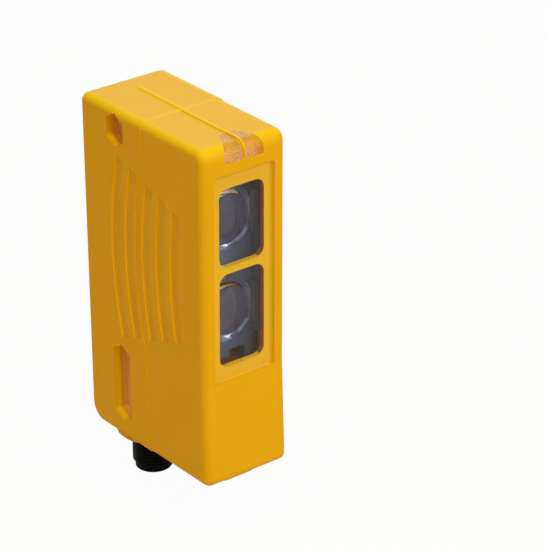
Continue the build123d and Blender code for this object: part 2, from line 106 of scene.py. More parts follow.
class NodeSheet:
    """A node tree of a material or the world, with the building steps that they share."""

    def __init__(self, owner: bpy.types.Material | bpy.types.World, output: str) -> None:
        """Empties the owner's tree and adds its output.

        Args:
            owner: The material or the world.
            output: The kind of its output node.
        """
        owner.use_nodes = True
        self.tree = owner.node_tree
        self.tree.nodes.clear()
        self.output = self.add(output)

    def add(self, kind: str, **values: object) -> bpy.types.Node:
        """Adds a node.

        Args:
            kind: The node's kind.
            values: What its input sockets hold, with an underscore for each space.

        Returns:
            The new node.
        """
        node = self.tree.nodes.new(kind)
        for socket, value in values.items():
            node.inputs[socket.replace("_", " ")].default_value = value
        return node

    def link(self, source: Socket, target: Socket) -> None:
        """Joins two sockets."""
        self.tree.links.new(source, target)

    def sum(self, kind: str, first: Socket, *others: Socket | float) -> Socket:
        """Does one sum with a value.

        Args:
            kind: The sum's kind, as the shader editor names it.
            first: The value.
            others: The other terms, sockets or numbers.

        Returns:
            The result.
        """
        node = self.add("ShaderNodeMath")
        node.operation = kind
        self.link(first, node.inputs[0])
        for place, other in enumerate(others, start=1):
            if isinstance(other, Socket):
                self.link(other, node.inputs[place])
            else:
                node.inputs[place].default_value = other
        return node.outputs[0]

    def largest(self, first: Socket, *others: Socket) -> Socket:
        """Gives the largest of several values."""
        for other in others:
            first = self.sum("MAXIMUM", first, other)
        return first

    def sight(self, kind: str) -> Socket:
        """Tells whether the light path is of a kind, such as "Is Camera Ray"."""
        return self.add("ShaderNodeLightPath").outputs[kind]

    def mix(self, share: Socket, first: Socket, second: Socket) -> Socket:
        """Mixes two shaders.

        Args:
            share: 0 for the first shader and 1 for the second.
            first: The first shader.
            second: The second shader.

        Returns:
            The mixed shader.
        """
        node = self.add("ShaderNodeMixShader")
        self.link(share, node.inputs["Fac"])
        self.link(first, node.inputs[1])
        self.link(second, node.inputs[2])
        return node.outputs["Shader"]

    def end(self, shader: Socket) -> None:
        """Joins the finished shader to the output."""
        self.link(shader, self.output.inputs["Surface"])


class ShaderSheet(NodeSheet):
    """A finish's node tree around one principled shader."""

    def __init__(self, name: str) -> None:
        """Starts an empty material with a principled shader.

        Args:
            name: The material's name.
        """
        self.material = bpy.data.materials.new(name)
        super().__init__(self.material, "ShaderNodeOutputMaterial")
        self.shader = self.add("ShaderNodeBsdfPrincipled")
        self.end(self.shader.outputs["BSDF"])

    def put(self, socket: str, value: object) -> None:
        """Sets one of the principled shader's own sockets."""
        self.shader.inputs[socket].default_value = value

    def place(self, stretch: Triple = (1.0, 1.0, 1.0)) -> Socket:
        """Gives the place on the object in millimetres.

        Args:
            stretch: How many pattern lengths fit in a millimetre along each axis.

        Returns:
            The socket that carries the place.
        """
        coordinates = self.add("ShaderNodeTexCoord")
        mapping = self.add("ShaderNodeMapping", Scale=[part / MM for part in stretch])
        self.link(coordinates.outputs["Object"], mapping.inputs["Vector"])
        return mapping.outputs["Vector"]

    def noise(self, place: Socket, scale: float, detail: float, rough: float = 0.55) -> Socket:
        """Adds a noise pattern.

        Args:
            place: The socket with the place in millimetres.
            scale: Pattern lengths in a millimetre.
            detail: Octaves of finer noise.
            rough: How strong the finer octaves are.

        Returns:
            The noise's value, from 0 to 1.
        """
        node = self.add("ShaderNodeTexNoise", Scale=scale, Detail=detail, Roughness=rough)
        self.link(place, node.inputs["Vector"])
        return node.outputs["Fac"]

    def cells(self, place: Socket, scale: float) -> Socket:
        """Adds a pattern of cells and gives the distance from each cell's middle.

        Args:
            place: The socket with the place in millimetres.
            scale: Cells in a millimetre.

        Returns:
            The distance, 0 in the middle of a cell.
        """
        node = self.add("ShaderNodeTexVoronoi", Scale=scale)
        self.link(place, node.inputs["Vector"])
        return node.outputs["Distance"]

    def range(
        self, value: Socket, low: float, high: float, start: float = 0.3, end: float = 0.7
    ) -> Socket:
        """Maps a pattern's value to a range.

        Args:
            value: The pattern.
            low: The result where the pattern is at start.
            high: The result where the pattern is at end.
            start: The pattern's value that gives low.
            end: The pattern's value that gives high.

        Returns:
            The mapped value.
        """
        node = self.add("ShaderNodeMapRange", From_Min=start, From_Max=end, To_Min=low, To_Max=high)
        self.link(value, node.inputs["Value"])
        return node.outputs["Result"]

    def blend(self, share: Socket, first: Paint, second: Paint) -> Socket:
        """Blends two colours by a pattern.

        Args:
            share: The pattern, 0 for the first colour and 1 for the second.
            first: The first display colour, or a socket that carries one.
            second: The second display colour, or a socket that carries one.

        Returns:
            The blended colour.
        """
        node = self.add("ShaderNodeMix")
        node.data_type = "RGBA"
        self.link(share, node.inputs["Factor"])
        for side, paint in (("A", first), ("B", second)):
            if isinstance(paint, Socket):
                self.link(paint, node.inputs[side])
            else:
                node.inputs[side].default_value = linear(paint)
        return node.outputs["Result"]

    def axes(self, place: Socket) -> tuple[Socket, ...]:
        """Splits a place into its three numbers.

        Args:
            place: The socket with the place in millimetres.

        Returns:
            The sockets with x, y and z.
        """
        node = self.add("ShaderNodeSeparateXYZ")
        self.link(place, node.inputs[0])
        return tuple(node.outputs)

    def inside(self, axes: Sequence[Socket], zone: Zone) -> Socket:
        """Tells what lies inside a zone.

        Args:
            axes: The sockets with x, y and z.
            zone: The zone.

        Returns:
            1 inside the zone and 0 outside it.
        """
        shares = [
            self.sum("COMPARE", axis, centre, reach)
            for axis, centre, reach in zip(axes, zone.middle, zone.half)
        ]
        return self.sum("MULTIPLY", self.sum("MULTIPLY", shares[0], shares[1]), shares[2])

    def relief(self, height: Socket, depth: float, strength: float = 1.0) -> None:
        """Adds a bump and joins it to the shader's normal.

        Args:
            height: The pattern that stands for the height.
            depth: The relief's depth in millimetres.
            strength: How much of it shows.
        """
        node = self.add("ShaderNodeBump", Distance=depth * MM, Strength=strength)
        self.link(height, node.inputs["Height"])
        self.link(node.outputs["Normal"], self.shader.inputs["Normal"])

    def straight(self, tint: Colour) -> Socket:
        """Adds a shader that lets light go straight through, with a display colour."""
        return self.add("ShaderNodeBsdfTransparent", Color=linear(tint)).outputs["BSDF"]

    def let_through(self, share: Socket, tint: Colour) -> None:
        """Lets straight light through beside the shader.

        Args:
            share: The share of the shader, 0 where all light passes.
            tint: The display colour that the passing light takes.
        """
        self.end(self.mix(share, self.straight(tint), self.shader.outputs["BSDF"]))

    def pass_lamps(self, tint: Colour) -> None:
        """Lets the lamps' light reach what is behind a clear piece.

        Args:
            tint: The display colour that the light takes.
        """
        shade = self.sight("Is Shadow Ray")
        self.end(self.mix(shade, self.shader.outputs["BSDF"], self.straight(tint)))

    def colour(self, value: Socket) -> None:
        """Joins a colour to the shader."""
        self.link(value, self.shader.inputs["Base Color"])

    def rough(self, value: Socket) -> None:
        """Joins a roughness to the shader."""
        self.link(value, self.shader.inputs["Roughness"])


@dataclass(frozen=True)
class MouldedPlastic:
    """An opaque moulded plastic with a fine spark-eroded grain."""

    name: str
    slot: Slot
    colour: Colour
    shade: Colour
    rough: float = 0.45
    spread: float = 0.06
    grain_scale: float = 3.0
    grain_depth: float = 0.01
    cloud_scale: float = 0.06
    speck_size: float = 0.35
    speck_share: float = 0.4
    sheen: float = 0.5

    def zones(self, sheet: ShaderSheet, place: Socket, paint: Socket) -> Socket:
        """Gives the colour with its zones, of which a plain plastic has none."""
        return paint

    def build(self) -> bpy.types.Material:
        """Makes the material.

        Returns:
            The finished material.
        """
        sheet = ShaderSheet(self.name)
        place = sheet.place()
        cloud = sheet.noise(place, self.cloud_scale, detail=4.0)
        speck = sheet.noise(place, self.grain_scale * self.speck_size, detail=5.0, rough=0.7)
        grain = sheet.noise(place, self.grain_scale, detail=2.0)
        mottle = sheet.sum(
            "ADD", sheet.range(cloud, 0.0, 1.0 - self.speck_share),
            sheet.range(speck, 0.0, self.speck_share),
        )
        sheet.colour(self.zones(sheet, place, sheet.blend(mottle, self.shade, self.colour)))
        sheet.rough(sheet.range(speck, self.rough - self.spread, self.rough + self.spread))
        sheet.put("Specular IOR Level", self.sheen)
        sheet.relief(grain, self.grain_depth)
        return sheet.material


@dataclass(frozen=True)
class ShellPlastic(MouldedPlastic):
    """The shells' plastic: matt, with painted shade and painted light in zones.

    The hollow takes a red-brown painted shade, the apertures' right cheeks a darker painted
    shade and the pane's top joint a painted shadow line. The pane's pocket, the nut pockets'
    walls, the ridge, the top seam and the rounded edges take a lighter painted light, and the
    nut pockets' floors and the seam a paler painted sheen.

    The hollow, the apertures' right cheeks, the pane's pocket and its joint lean with the front
    face, and their y is the one that they would have at height 0. The nut pockets are on both
    sides, so their x has no sign. An edge is where its painted light starts and where it is
    full.
    """

    # Red-brown painted shade for the hollow inside the shell, where only shade falls.
    inside_shade: Colour = (255, 138, 92)
    # Darker red-brown painted shade for the apertures' right cheeks, also used for the painted
    # shadow along the pane's top joint.
    cheek_shade: Colour = (168, 96, 62)
    # Lighter yellow painted light on the pane's pocket, the nut pockets' walls, the ridge, the top
    # seam and the rounded edges.
    painted_light: Colour = (250, 200, 22)
    # Paler painted sheen on the nut pockets' floors and, at a share, on the top seam.
    painted_sheen: Colour = (250, 196, 112)
    lean: float = 0.016
    # The hollow takes the red-brown painted shade.
    hollow: Zone = Zone((0.0, -12.0, 49.5), (11.75, 11.7, 48.4))
    # The apertures' right cheeks, where shade falls, take the darker painted shade.
    right_cheeks: Zone = Zone((6.6, -24.35, 61.5), (1.05, 0.75, 26.5))
    # The pane's pocket floor takes painted light.
    pane_pocket: Zone = Zone((0.0, -24.61, 61.5), (10.2, 0.96, 31.0))
    # A painted shadow line along the pane's top joint, taking this share of the darker colour.
    pane_joint_shadow: Zone = Zone((0.0, -25.35, 90.98), (10.2, 0.3, 0.22))
    joint_shadow_share: float = 0.22
    # The nut pockets' walls take painted light, and their floors take a painted sheen.
    nut_walls: Zone = Zone((12.6, 12.5, 48.0), (0.75, 11.5, 44.0))
    nut_floors: Zone = Zone((10.2, 10.8, 48.0), (1.0, 4.2, 46.4))
    # The ridge and the top seam take painted light, and the seam also takes this share of painted
    # sheen.
    ridge: Zone = Zone((0.0, 0.0, 100.4), (0.8, 30.0, 0.38))
    top_seam: Zone = Zone((0.0, -1.0, 99.7), (12.6, 0.3, 0.38))
    seam_share: float = 0.35
    # The rounded edges of the sides and the front, near the top, take painted light, from where it
    # starts to where it is full.
    side_edge: tuple[float, float] = (11.2, 12.6)
    front_edge: tuple[float, float] = (-24.2, -25.6)
    front_share: float = 0.75
    top_edge: tuple[float, float] = (98.2, 99.6)
    top_share: float = 0.85

    def zones(self, sheet: ShaderSheet, place: Socket, paint: Socket) -> Socket:
        """Gives the colour with the shells' zones of painted light, sheen, shade and shadow.

        Args:
            sheet: The material's sheet.
            place: The socket with the place in millimetres.
            paint: The colour outside the zones.

        Returns:
            The colour with its zones.
        """
        across, deep, high = sheet.axes(place)
        aside = sheet.sum("ABSOLUTE", across)
        upright = sheet.sum("MULTIPLY_ADD", high, self.lean, deep)
        plain, leaned, folded = (across, deep, high), (across, upright, high), (aside, deep, high)
        # Painted light on the rounded edges: lighter towards the sides and the front, near the top.
        outward = sheet.largest(
            sheet.range(aside, 0.0, 1.0, *self.side_edge),
            sheet.range(deep, 0.0, self.front_share, *self.front_edge),
        )
        edge = sheet.sum(
            "MULTIPLY", outward, sheet.range(high, 0.0, self.top_share, *self.top_edge)
        )
        seam = sheet.inside(plain, self.top_seam)
        # Mask of painted light.
        lit_mask = sheet.largest(
            sheet.inside(leaned, self.pane_pocket), sheet.inside(folded, self.nut_walls),
            sheet.inside(plain, self.ridge), edge, seam,
        )
        # Mask of painted sheen.
        sheen_mask = sheet.largest(
            sheet.inside(folded, self.nut_floors), sheet.sum("MULTIPLY", seam, self.seam_share)
        )
        # Painted shadow along the pane's top joint.
        joint_shadow_mask = sheet.sum("MULTIPLY", sheet.inside(leaned, self.pane_joint_shadow), self.joint_shadow_share)
        # Mask of the cheeks' painted shade and the joint's painted shadow.
        shade_mask = sheet.largest(sheet.inside(leaned, self.right_cheeks), joint_shadow_mask)
        # Paints the lighter light.
        paint = sheet.blend(lit_mask, paint, self.painted_light)
        # Paints the paler sheen.
        paint = sheet.blend(sheen_mask, paint, self.painted_sheen)
        # Paints the red-brown shade into the hollow.
        paint = sheet.blend(sheet.inside(leaned, self.hollow), paint, self.inside_shade)
        # Paints the darker shade and shadow last.
        return sheet.blend(shade_mask, paint, self.cheek_shade)


@dataclass(frozen=True)
class ClearPane:
    """A thin flat clear pane: light goes straight through, and a little is reflected."""

    name: str
    slot: Slot
    tint: Colour = (255, 255, 253)
    rough: float = 0.04
    rough_shares: tuple[float, float] = (0.6, 1.5)
    smeared: Colour = (240, 238, 232)
    smear_scale: float = 0.25
    wave_scale: float = 0.08
    wave_depth: float = 0.02
    facing: float = 0.2
    glints: tuple[float, float] = (0.03, 1.0)
    least: float = 0.02
    most: float = 0.5

    def build(self) -> bpy.types.Material:
        """Makes the material.

        Returns:
            The finished material.
        """
        sheet = ShaderSheet(self.name)
        place = sheet.place()
        smear = sheet.noise(place, self.smear_scale, detail=4.0)
        sheet.colour(sheet.blend(smear, self.smeared, self.tint))
        sheet.rough(sheet.range(smear, *(self.rough * share for share in self.rough_shares)))
        sheet.put("Metallic", 1.0)
        sheet.relief(sheet.noise(place, self.wave_scale, detail=1.0), self.wave_depth)
        angle = sheet.add("ShaderNodeLayerWeight", Blend=self.facing)
        share = sheet.range(angle.outputs["Fresnel"], self.least, self.most, *self.glints)
        sheet.let_through(share, self.tint)
        return sheet.material


@dataclass(frozen=True)
class ClearPlastic:
    """A clear moulded plastic that bends light, with faint flow ripples."""

    name: str
    slot: Slot
    tint: Colour = (252, 252, 252)
    rough: float = 0.03
    rough_shares: tuple[float, float] = (0.6, 1.4)
    ior: float = 1.49
    ripple_scale: float = 0.12
    ripple_depth: float = 0.01
    coating: Colour = (255, 255, 255)
    haze_scale: float = 0.96
    haze_dim: float = 0.97

    def build(self) -> bpy.types.Material:
        """Makes the material.

        Returns:
            The finished material.
        """
        sheet = ShaderSheet(self.name)
        place = sheet.place()
        flow = sheet.noise(place, self.ripple_scale, detail=2.0)
        haze = sheet.noise(place, self.haze_scale, detail=4.0)
        dim = tuple(part * self.haze_dim for part in self.tint)
        sheet.colour(sheet.blend(haze, dim, self.tint))
        sheet.rough(sheet.range(haze, *(self.rough * share for share in self.rough_shares)))
        sheet.put("Transmission Weight", 1.0)
        sheet.put("IOR", self.ior)
        sheet.put("Specular Tint", linear(self.coating))
        sheet.relief(flow, self.ripple_depth)
        sheet.pass_lamps(self.tint)
        return sheet.material


@dataclass(frozen=True)
class PrismPlastic:
    """A clear plastic with a moulded field of small light-spreading facets."""

    name: str
    slot: Slot
    tint: Colour
    deep: Colour
    # Pale pinkish speckle, lower down and towards the middle and the left: partly the window's
    # pinkish tint, partly painted highlights on its facets.
    blush_and_glint: Colour | None = None
    rough: float = 0.22
    rough_shares: tuple[float, float] = (0.7, 1.3)
    cloud_scale: float = 0.5
    cloud_ends: tuple[float, float] = (0.35, 0.65)
    facet_scale: float = 1.6
    facet_depth: float = 0.25
    facet_strength: float = 0.6
    clarity: float = 0.6
    ior: float = 1.49
    blush_and_glint_least: float = 0.1
    blush_and_glint_heights: tuple[float, float] = (96.4, 99.2)
    blush_and_glint_middle: tuple[float, float] = (2.6, 4.8)
    blush_and_glint_left: tuple[float, float] = (-1.0, 1.0)
    speckle_scale: float = 2.8
    speckle_ends: tuple[float, float] = (0.40, 0.60)

    def build(self) -> bpy.types.Material:
        """Makes the material.

        Returns:
            The finished material.
        """
        sheet = ShaderSheet(self.name)
        place = sheet.place()
        facets = sheet.cells(place, self.facet_scale)
        cloud = sheet.noise(place, self.cloud_scale, detail=4.0)
        paint = sheet.blend(sheet.range(cloud, 0.0, 1.0, *self.cloud_ends), self.deep, self.tint)
        # Speckle of pinkish tint and painted highlight, lower down and towards the middle and the
        # left.
        if self.blush_and_glint is not None:
            across, _, high = sheet.axes(place)
            low = sheet.range(high, 1.0, self.blush_and_glint_least, *self.blush_and_glint_heights)
            near = sheet.largest(
                sheet.range(sheet.sum("ABSOLUTE", across), 1.0, 0.0, *self.blush_and_glint_middle),
                sheet.range(across, 1.0, 0.0, *self.blush_and_glint_left),
            )
            specks = sheet.noise(place, self.speckle_scale, detail=2.0)
            speckle = sheet.range(specks, self.blush_and_glint_least, 1.0, *self.speckle_ends)
            share = sheet.sum("MULTIPLY", sheet.sum("MULTIPLY", low, near), speckle)
            paint = sheet.blend(share, paint, self.blush_and_glint)
        sheet.colour(paint)
        sheet.rough(sheet.range(cloud, *(self.rough * share for share in self.rough_shares)))
        sheet.put("Transmission Weight", self.clarity)
        sheet.put("IOR", self.ior)
        sheet.put("Specular Tint", linear(self.tint))
        sheet.relief(facets, self.facet_depth, self.facet_strength)
        sheet.pass_lamps(self.tint)
        return sheet.material


@dataclass(frozen=True)
class BoardLaminate:
    """A circuit board's solder mask over faint copper tracks."""

    name: str
    slot: Slot
    mask: Colour = (24, 84, 50)
    track: Colour = (44, 118, 70)
    rough: float = 0.32
    rough_ends: tuple[float, float] = (-0.05, 0.08)
    weave_scale: float = 2.2
    track_scale: float = 0.35
    track_width: float = 0.035
    track_height: float = 0.03

    def build(self) -> bpy.types.Material:
        """Makes the material.

        Returns:
            The finished material.
        """
        sheet = ShaderSheet(self.name)
        place = sheet.place()
        weave = sheet.noise(place, self.weave_scale, detail=2.0)
        blank, full = (0.0, 0.0, 0.0, 1.0), (*WHITE, 1.0)
        bricks = sheet.add(
            "ShaderNodeTexBrick", Scale=self.track_scale, Mortar_Size=self.track_width,
            Color1=blank, Color2=blank, Mortar=full,
        )
        turn = sheet.add("ShaderNodeMapping", Rotation=(math.radians(90.0), 0.0, 0.0))
        sheet.link(place, turn.inputs["Vector"])
        sheet.link(turn.outputs["Vector"], bricks.inputs["Vector"])
        sheet.colour(sheet.blend(bricks.outputs["Color"], self.mask, self.track))
        sheet.rough(sheet.range(weave, *(self.rough + end for end in self.rough_ends)))
        sheet.relief(bricks.outputs["Color"], self.track_height)
        return sheet.material


@dataclass(frozen=True)
class PlatedMetal:
    """A drawn or plated metal with fine marks along one axis."""

    name: str
    slot: Slot
    colour: Colour
    shade: Colour
    rough: float = 0.28
    rough_ends: tuple[float, float] = (-0.08, 0.1)
    stretch: Triple = (6.0, 6.0, 0.6)
    mark_depth: float = 0.01

    def build(self) -> bpy.types.Material:
        """Makes the material.

        Returns:
            The finished material.
        """
        sheet = ShaderSheet(self.name)
        place = sheet.place(self.stretch)
        marks = sheet.noise(place, 1.0, detail=4.0, rough=0.6)
        sheet.colour(sheet.blend(marks, self.shade, self.colour))
        sheet.rough(sheet.range(marks, *(self.rough + end for end in self.rough_ends)))
        sheet.put("Metallic", 1.0)
        sheet.relief(marks, self.mark_depth)
        return sheet.material


YELLOW = ShellPlastic(
    "yellow_moulded_shell", Slot.YELLOW_SHELL, (241, 181, 4), (236, 174, 3), rough=0.42,
    spread=0.05, grain_scale=2.6, grain_depth=0.012, sheen=0.1,
)
PANE = ClearPane("clear_front_pane", Slot.CLEAR_PANE)
# The indicator window's pinkish speckle is partly its tint and partly painted highlight.
PRISM = PrismPlastic(
    "clear_indicator_prism", Slot.CLEAR_PRISM, (238, 178, 48), (226, 158, 34),
    blush_and_glint=(255, 210, 172), clarity=0.34,
)
LENS = ClearPlastic(
    "clear_lens", Slot.LENS_PLASTIC, tint=(236, 238, 248), rough=0.03, ior=1.5,
    ripple_depth=0.002, coating=(206, 210, 255),
)
SLATE = MouldedPlastic(
    "slate_carrier_plastic", Slot.DARK_PLASTIC, (95, 118, 152), (86, 107, 140), rough=0.42,
    grain_scale=4.0, grain_depth=0.008,
)
BLACK = MouldedPlastic(
    "black_plug_plastic", Slot.BLACK_PLASTIC, (7, 14, 15), (5, 11, 12), rough=0.4,
    grain_scale=4.0, grain_depth=0.01, sheen=0.16,
)
RUBBER = MouldedPlastic(
    "seal_rubber", Slot.SEAL_RUBBER, (52, 50, 48), (40, 39, 38), rough=0.75, spread=0.08,
    grain_scale=5.0, grain_depth=0.02, sheen=0.3,
)
LAMINATE = BoardLaminate("green_circuit_board", Slot.CIRCUIT_BOARD)
PALE_LAMINATE = BoardLaminate(
    "white_lamp_board", Slot.CIRCUIT_BOARD, mask=(238, 226, 210), track=(226, 212, 196)
)
CHASSIS = MouldedPlastic(
    "dark_chassis_plastic", Slot.DARK_PLASTIC, (104, 108, 136), (90, 94, 120), rough=0.5,
    grain_scale=6.0, grain_depth=0.01,
)
CHIP = MouldedPlastic(
    "black_chip_plastic", Slot.CHIP_BLACK, (40, 40, 42), (30, 30, 32), rough=0.55,
    grain_scale=8.0, grain_depth=0.01,
)
LAMP = PrismPlastic(
    "lamp_plastic", Slot.LAMP_PLASTIC, (240, 236, 226), (226, 220, 206), rough=0.3,
    facet_depth=0.02, clarity=0.35,
)
CAN = PlatedMetal(
    "capacitor_can", Slot.CAPACITOR_CAN, (188, 190, 194), (160, 162, 168), rough=0.3
)
GOLD = PlatedMetal("gilded_pin_metal", Slot.PIN_METAL, (222, 186, 110), (198, 160, 84), rough=0.22)

Finish = MouldedPlastic | ClearPane | ClearPlastic | PrismPlastic | BoardLaminate | PlatedMetal


class Wardrobe:
    """Keeps one material per finish, so that pieces of one finish share it."""

    def __init__(self) -> None:
        """Starts with no materials."""
        self.made: dict[str, bpy.types.Material] = {}

    def of(self, finish: Finish) -> bpy.types.Material:
        """Gives a finish's material and makes it the first time.

        Args:
            finish: The finish.

        Returns:
            The material.
        """
        if finish.name not in self.made:
            self.made[finish.name] = finish.build()
        return self.made[finish.name]


WARDROBE = Wardrobe()


def dress(piece: bpy.types.Object, finish: Finish) -> None:
    """Gives a piece its finish in every material slot.

    Args:
        piece: A solid of the frame, or a piece of this script.
        finish: The finish.
    """
    material = WARDROBE.of(finish)
    if not piece.data.materials:
        piece.data.materials.append(material)
    for place in range(len(piece.data.materials)):
        piece.data.materials[place] = material


def dress_nodes(finish: Finish, *names: str) -> None:
    """Gives solids of the frame their finish, and reports each.

    Args:
        finish: The finish.
        names: The solids' names.
    """
    for name in names:
        dress(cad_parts[name], finish)
        log.info("dressed %s in %s", name, finish.name)


def make_piece(
    name: str, shape: bmesh.types.BMesh, finish: Finish, smooth: float = 35.0
) -> bpy.types.Object:
    """Turns a mesh in millimetres into a dressed piece that rides on the one body.

    Args:
        name: The piece's name.
        shape: The mesh, in millimetres. It is freed here.
        finish: The piece's finish.
        smooth: The angle in degrees up to which an edge is shaded smooth.

    Returns:
        The new object.
    """
    bmesh.ops.remove_doubles(shape, verts=shape.verts, dist=WELD)
    bmesh.ops.recalc_face_normals(shape, faces=shape.faces)
    bmesh.ops.scale(shape, vec=(MM, MM, MM), verts=shape.verts)
    for face in shape.faces:
        face.smooth = True
    limit = math.radians(smooth)
    for edge in shape.edges:
        edge.smooth = len(edge.link_faces) == 2 and edge.calc_face_angle(0.0) < limit
    mesh = bpy.data.meshes.new(name)
    shape.to_mesh(mesh)
    shape.free()
    piece = bpy.data.objects.new(name, mesh)
    bpy.context.scene.collection.objects.link(piece)
    dress(piece, finish)
    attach(piece, "root")
    log.info("piece %s: %d faces", name, len(mesh.polygons))
    return piece


def bevel(shape: bmesh.types.BMesh, edges: list, size: float, steps: int) -> None:
    """Rounds edges of a mesh.

    Args:
        shape: The mesh.
        edges: The edges.
        size: The round's size in millimetres.
        steps: How many faces it takes.
    """
    bmesh.ops.bevel(
        shape, geom=edges, offset=size, segments=steps, profile=0.5, affect="EDGES", material=-1
    )


def line_of(shape: bmesh.types.BMesh, points: Sequence[Sequence[float]]) -> list:
    """Adds a line of joined points to a mesh.

    Args:
        shape: The mesh.
        points: The points in millimetres.

    Returns:
        The new vertices and edges.
    """
    corners = [shape.verts.new(point) for point in points]
    edges = [shape.edges.new(pair) for pair in zip(corners, corners[1:])]
    return corners + edges


@dataclass
class Shells:
    """The rear and the front housing shell."""

    nodes: tuple[str, ...] = ("rear_housing", "front_housing")

    def build(self) -> None:
        """Dresses both shells."""
        dress_nodes(YELLOW, *self.nodes)


@dataclass
class Windows:
    """The front pane and the indicator window.

    The foot is the point, in y and z, from which the pane's front face rises, and the lean is
    how far the face comes forward with each millimetre of height.
    """

    wide: float = 19.84
    tall: float = 60.94
    thick: float = 1.07
    sunk: float = 0.2
    middle: float = 61.35
    foot: tuple[float, float] = (-27.0, 31.0)
    lean: float = 0.016
    corner: float = 0.75
    corner_steps: int = 5
    edge: float = 0.18
    edge_steps: int = 2

    def pane(self) -> bpy.types.Object:
        """Builds the front pane with round corners and a bevelled front edge.

        Returns:
            The finished piece.
        """
        shape = bmesh.new()
        bmesh.ops.create_cube(shape, size=1.0)
        bmesh.ops.scale(shape, vec=(self.wide, self.thick, self.tall), verts=shape.verts)
        posts = [e for e in shape.edges if e.verts[0].co.y * e.verts[1].co.y < 0.0]
        bevel(shape, posts, self.corner, self.corner_steps)
        front = [e for e in shape.edges if all(v.co.y < 0.0 for v in e.verts)]
        bevel(shape, front, self.edge, self.edge_steps)
        along = self.middle - self.foot[1]
        bmesh.ops.translate(shape, verts=shape.verts, vec=(0, self.sunk + self.thick / 2, along))
        bmesh.ops.rotate(
            shape, verts=shape.verts, cent=(0, 0, 0),
            matrix=Matrix.Rotation(math.atan(self.lean), 3, "X"),
        )
        bmesh.ops.translate(shape, verts=shape.verts, vec=(0, *self.foot))
        return make_piece("front_pane", shape, PANE)

    def build(self) -> None:
        """Builds the pane and dresses the indicator window."""
        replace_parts(self.pane(), "front_window")
        dress_nodes(PRISM, "indicator_window")


@dataclass
class Optics:
    """The lens carrier, the lenses and what stands behind them.

    Along a lens's axis the numbers are values of y, and across it they are radii.
    """

    heights: tuple[tuple[str, float], ...] = (("upper_lens", 74.6), ("lower_lens", 47.4))
    seat: float = -17.04
    rim: float = 9.3
    rim_front: float = -19.0
    rear_edge: float = 0.15
    front_edge: float = 0.12
    rim_flat: tuple[float, float] = (0.06, 0.14)
    valley: float = 8.05
    valley_deep: float = -18.2
    valley_half: float = 0.06
    dome_edge: float = 7.39
    dome_foot: tuple[float, float] = (0.05, -19.35)
    dome_trim: float = 0.03
    dome_top: float = -21.4
    dome_bend: float = 15.06
    dome_rings: int = 14
    steps: int = 96

    def profile(self) -> list[Triple]:
        """Draws half of a lens's section: flat rear, raised rim, valley and dome.

        Returns:
            The points from the rear's middle to the dome's middle, on an axis at height 0.
        """
        line = [
            (0.0, self.seat), (self.rim - self.rear_edge, self.seat),
            (self.rim, self.seat - self.rear_edge),
            (self.rim, self.rim_front + self.front_edge),
            (self.rim - self.rim_flat[0], self.rim_front),
            (self.rim - self.rim_flat[1], self.rim_front),
            (self.valley + self.valley_half, self.valley_deep),
            (self.valley - self.valley_half, self.valley_deep),
            (self.dome_edge + self.dome_foot[0], self.dome_foot[1]),
        ]
        for ring in range(self.dome_rings + 1):
            radius = (self.dome_edge - self.dome_trim) * (1.0 - ring / self.dome_rings)
            rise = math.sqrt(self.dome_bend**2 - radius**2)
            line.append((radius, self.dome_top + self.dome_bend - rise))
        return [(radius, deep, 0.0) for radius, deep in line]

    def lens(self, name: str, height: float) -> bpy.types.Object:
        """Turns a lens from its section.

        Args:
            name: The name of the frame's lens that it stands for.
            height: The height of its axis in millimetres.

        Returns:
            The finished piece.
        """
        shape = bmesh.new()
        bmesh.ops.spin(
            shape, geom=line_of(shape, self.profile()), cent=(0, 0, 0), axis=(0, 1, 0),
            angle=math.tau, steps=self.steps, use_merge=True, use_duplicate=False,
        )
        bmesh.ops.translate(shape, verts=shape.verts, vec=(0.0, 0.0, height))
        return make_piece(f"{name}_turned", shape, LENS, smooth=24.0)

    def build(self) -> None:
        """Builds the lenses and dresses the rest of the optics."""
        dress_nodes(SLATE, "lens_carrier")
        for name, height in self.heights:
            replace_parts(self.lens(name, height), name)
        dress_nodes(CHASSIS, "optics_chassis")
        dress_nodes(CHIP, "photo_elements")


@dataclass
class Electronics:
    """The boards and what is soldered to them."""

    boards: tuple[str, ...] = (
        "optics_board", "signal_board", "output_board", "connector_board",
    )
    chips: tuple[str, ...] = ("signal_controllers", "output_switches")
    headers: tuple[str, ...] = ("front_header", "rear_header")

    def build(self) -> None:
        """Dresses the boards and their parts."""
        dress_nodes(LAMINATE, *self.boards)
        dress_nodes(CHIP, *self.chips)
        dress_nodes(BLACK, *self.headers)
        dress_nodes(PALE_LAMINATE, "indicator_board")
        dress_nodes(LAMP, "indicator_leds")
        dress_nodes(CAN, "supply_capacitor")


